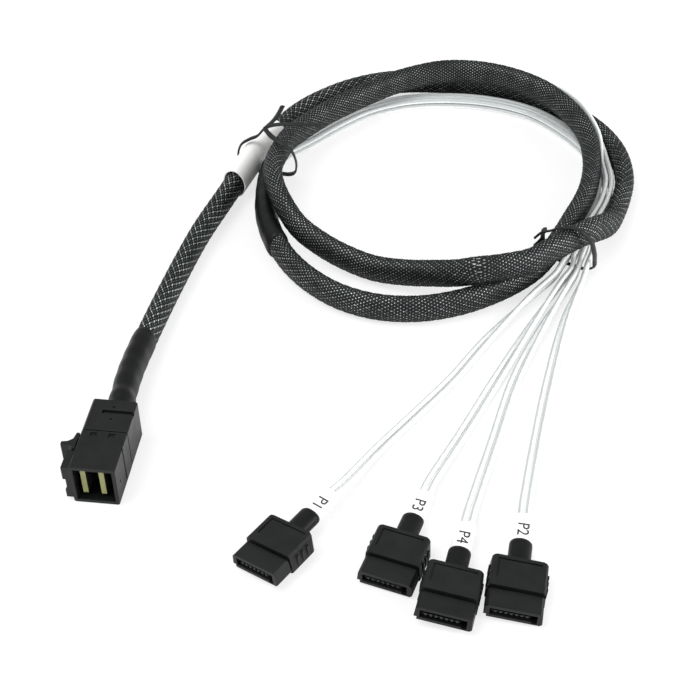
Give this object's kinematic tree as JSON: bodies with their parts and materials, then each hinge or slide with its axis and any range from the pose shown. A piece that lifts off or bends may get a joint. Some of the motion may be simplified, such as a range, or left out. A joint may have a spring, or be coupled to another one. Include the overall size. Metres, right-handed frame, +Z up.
{
  "type": "mini SAS to SATA breakout cable",
  "caption": "Data breakout cable: one high-density mini SAS host plug, a black and silver braided sleeve coiled in two turns with twist ties, and thin white cord pairs to SATA drive plugs.",
  "frame": {"origin": "on the floor, under the middle of the box round the whole coiled cable", "axes": "+Z up, -Y towards the drive plugs, +X to the coil's free side, away from the host plug"},
  "size_m": [0.1706, 0.2486, 0.0212],
  "materials": {
    "plastic": "matte",
    "plastic_grey": "satin",
    "shrink": "satin",
    "braid": "woven",
    "paper": "matte",
    "twinax": "gloss",
    "board": "satin",
    "gold": "satin",
    "tie": "matte"
  },
  "bodies": {
    "root": {"braided_sleeve": "braid", "sleeve_end_shrink": "shrink", "plug_rear_shell": "plastic", "plug_front_shroud": "plastic_grey", "plug_carrier": "plastic", "plug_board_1": "board", "plug_board_2": "board", "plug_latch": "plastic", "plug_heat_shrink": "shrink", "trunk_label": "paper", "drive_1_cord_1": "twinax", "drive_1_cord_2": "twinax", "drive_1_label": "paper", "drive_1_neck": "shrink", "drive_1_shell": "plastic", "drive_1_nose": "plastic", "drive_1_contacts": "gold", "drive_2_cord_1": "twinax", "drive_2_cord_2": "twinax", "drive_2_label": "paper", "drive_2_neck": "shrink", "drive_2_shell": "plastic", "drive_2_nose": "plastic", "drive_2_contacts": "gold", "drive_3_cord_1": "twinax", "drive_3_cord_2": "twinax", "drive_3_label": "paper", "drive_3_neck": "shrink", "drive_3_shell": "plastic", "drive_3_nose": "plastic", "drive_3_contacts": "gold", "drive_4_cord_1": "twinax", "drive_4_cord_2": "twinax", "drive_4_label": "paper", "drive_4_neck": "shrink", "drive_4_shell": "plastic", "drive_4_nose": "plastic", "drive_4_contacts": "gold", "twist_tie_1": "tie", "twist_tie_2": "tie"}
  },
  "joints": []
}
